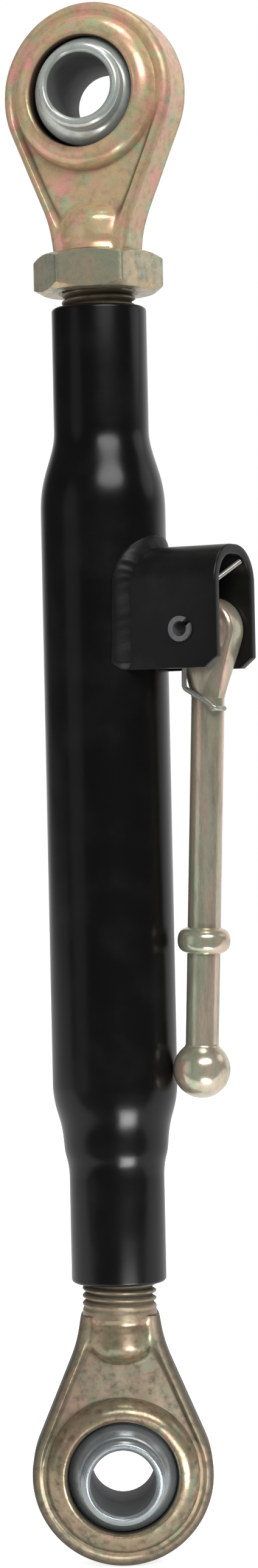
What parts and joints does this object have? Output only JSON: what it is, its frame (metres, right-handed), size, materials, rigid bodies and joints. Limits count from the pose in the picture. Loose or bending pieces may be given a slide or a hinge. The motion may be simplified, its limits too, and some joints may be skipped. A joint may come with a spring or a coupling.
{
  "type": "tractor top link",
  "caption": "Adjustable tractor top link: a threaded turnbuckle barrel with ball-end eyes, a lock nut and a folding spring-loaded turning handle.",
  "frame": {"origin": "centre of the lower swivel ball's pin bore", "axes": "+Z along the link towards the upper eye, +Y along the lower pin bore"},
  "size_m": [0.0959, 0.0724, 0.6237],
  "materials": {
    "barrel_paint": "satin",
    "bracket_paint": "satin",
    "weld_paint": "satin",
    "pin_steel": "satin",
    "spring_wire": "polished",
    "handle_zinc": "satin",
    "nut_zinc": "satin",
    "eye_zinc": "satin",
    "shank_zinc": "satin",
    "ball_zinc": "polished"
  },
  "bodies": {
    "lower_eye": {"lower_eye": "eye_zinc", "lower_shank": "shank_zinc"},
    "lower_ball": {"lower_ball": "ball_zinc"},
    "lock_nut": {"lock_nut": "nut_zinc"},
    "barrel": {"barrel": "barrel_paint", "handle_bracket": "bracket_paint", "bracket_weld": "weld_paint", "handle_pin": "pin_steel", "handle_spring": "spring_wire"},
    "handle": {"handle": "handle_zinc"},
    "upper_eye": {"upper_eye": "eye_zinc", "upper_shank": "shank_zinc"},
    "upper_ball": {"upper_ball": "ball_zinc"}
  },
  "joints": [
    {"name": "nut_advance", "type": "slide", "parent": "lower_eye", "child": "lock_nut", "axis": [0, 0, 1], "range_m": [0, 0.114]},
    {"name": "barrel_turn", "type": "hinge", "parent": "lock_nut", "child": "barrel", "pos_m": [0, 0, 0.27], "axis": [0, 0, -1], "range_deg": [0, 13680]},
    {"name": "upper_eye_advance", "type": "slide", "parent": "lower_eye", "child": "upper_eye", "axis": [0, 0, 1], "range_m": [0, 0.228]},
    {"name": "handle_fold", "type": "hinge", "parent": "barrel", "child": "handle", "pos_m": [0.03786, -0.02142, 0.3356], "axis": [-0.4924, -0.8704, 0], "range_deg": [0, 110], "stiffness_Nm_per_rad": 0.75, "springref_deg": -28.65, "deforming": ["handle_spring"]},
    {"name": "lower_ball_swivel", "type": "hinge", "parent": "lower_eye", "child": "lower_ball", "pos_m": [0, 0, 0], "axis": [0, 0, 1], "range_deg": [-16, 16]},
    {"name": "upper_ball_swivel", "type": "hinge", "parent": "upper_eye", "child": "upper_ball", "pos_m": [0, 0, 0.5513], "axis": [0, 0, 1], "range_deg": [-25.5, 6.5]}
  ],
  "couplings": [
    {"joint": "nut_advance", "follows": "barrel_turn", "m_per_rad": 0.00047746},
    {"joint": "upper_eye_advance", "follows": "barrel_turn", "m_per_rad": 0.00095493}
  ]
}
